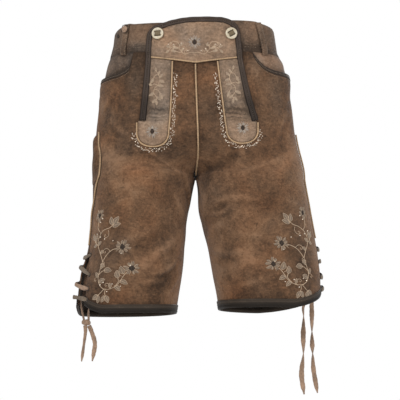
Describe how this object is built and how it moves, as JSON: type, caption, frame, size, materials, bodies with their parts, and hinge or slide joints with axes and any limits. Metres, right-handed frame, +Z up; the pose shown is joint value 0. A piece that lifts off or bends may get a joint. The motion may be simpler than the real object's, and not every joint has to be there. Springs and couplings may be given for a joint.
{
  "type": "lederhosen",
  "caption": "Knee-length suede lederhosen with a buttoned drop-front flap, piped tongues, hip pockets, a knife pocket and laced side vents, in the hollow shape they have when worn.",
  "frame": {"origin": "centre of the waist opening, level with the top edge of the waistband", "axes": "+Z up the body, -Y towards the front flap, -X to the wearer's right"},
  "size_m": [0.4618, 0.2676, 0.6831],
  "materials": {
    "suede": "mottled brown goat suede, worn nap",
    "light_suede": "paler grey-brown suede",
    "dark_leather": "almost black, matt binding leather",
    "piping": "tan seam piping",
    "thong": "rough suede thong",
    "horn": "cream horn, lightly polished"
  },
  "bodies": {
    "root": {"back_panel_left": "suede", "back_panel_right": "suede", "belt_loop_left": "suede", "belt_loop_right": "suede", "button_strap_left": "dark_leather", "button_strap_right": "dark_leather", "centre_piping": "piping", "flap_binding": "dark_leather", "flap_seam_piping": "piping", "flap_yoke": "light_suede", "front_panel_left": "suede", "front_panel_right": "suede", "hem_binding_left": "dark_leather", "hem_binding_right": "dark_leather", "hip_facing_left": "suede", "hip_facing_right": "suede", "horn_button_left": "horn", "horn_button_right": "horn", "knife_pocket_right": "suede", "lace_bar_left_1": "thong", "lace_bar_left_2": "thong", "lace_bar_left_3": "thong", "lace_bar_left_4": "thong", "lace_bar_right_1": "thong", "lace_bar_right_2": "thong", "lace_bar_right_3": "thong", "lace_bar_right_4": "thong", "lace_knot_right": "thong", "lace_run_right_a": "thong", "lace_run_right_b": "thong", "lace_tail_left_a": "thong", "lace_tail_left_b": "thong", "lace_tail_right_a": "thong", "lace_tail_right_b": "thong", "side_piping_left": "piping", "side_piping_right": "piping", "tongue_left": "light_suede", "tongue_piping_left": "piping", "tongue_piping_right": "piping", "tongue_right": "light_suede", "waist_knot_right": "thong", "waistband_back_left": "suede", "waistband_back_right": "suede", "waistband_front_left": "suede", "waistband_front_right": "suede"}
  },
  "joints": []
}
